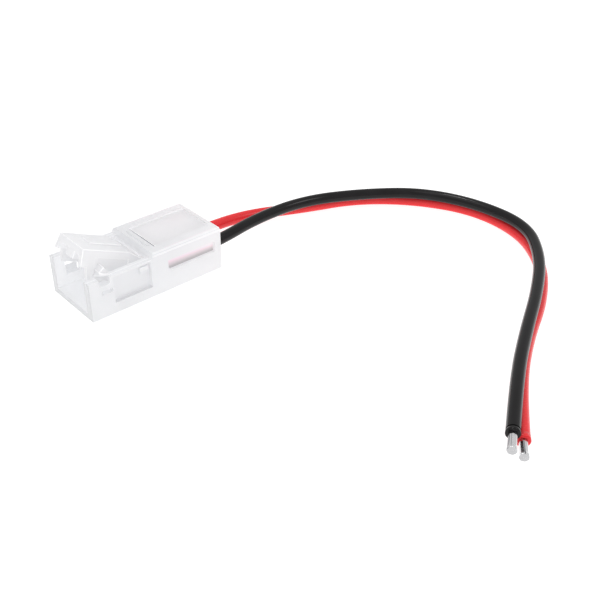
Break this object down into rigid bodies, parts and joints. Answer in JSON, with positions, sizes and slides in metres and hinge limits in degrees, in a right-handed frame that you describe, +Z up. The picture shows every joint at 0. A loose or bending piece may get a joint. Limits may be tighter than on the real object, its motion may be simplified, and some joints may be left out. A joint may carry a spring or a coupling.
{
  "type": "led strip connector",
  "caption": "Snap connector for a light strip: an open tray with a hinged pressing flap, a covered wire box, and a black and a red lead with tinned ends.",
  "frame": {"origin": "under the middle of the housing, on the surface that it stands on", "axes": "+X along the housing from the strip mouth to the leads, +Z up, +Y towards the red lead's side"},
  "size_m": [0.0656, 0.0673, 0.0106],
  "materials": {
    "housing_plastic": "satin, milky clear",
    "cover_plastic": "satin, milky clear",
    "flap_plastic": "satin, milky clear",
    "black_insulation": "satin",
    "red_insulation": "satin",
    "tinned_copper": "tinned, satin",
    "contact_metal": "tin plated",
    "bare_copper": "bare copper strands"
  },
  "bodies": {
    "housing": {"base_housing": "housing_plastic", "wire_cover": "cover_plastic", "black_contact": "contact_metal", "red_contact": "contact_metal", "black_core": "bare_copper", "red_core": "bare_copper", "black_wire": "black_insulation", "red_wire": "red_insulation", "black_tip": "tinned_copper", "red_tip": "tinned_copper"},
    "flap": {"strip_flap": "flap_plastic"}
  },
  "joints": [
    {"name": "flap_hinge", "type": "hinge", "parent": "housing", "child": "flap", "pos_m": [-0.00205, 0, 0.005], "axis": [0, 1, 0], "range_deg": [-24.5, 45]}
  ]
}
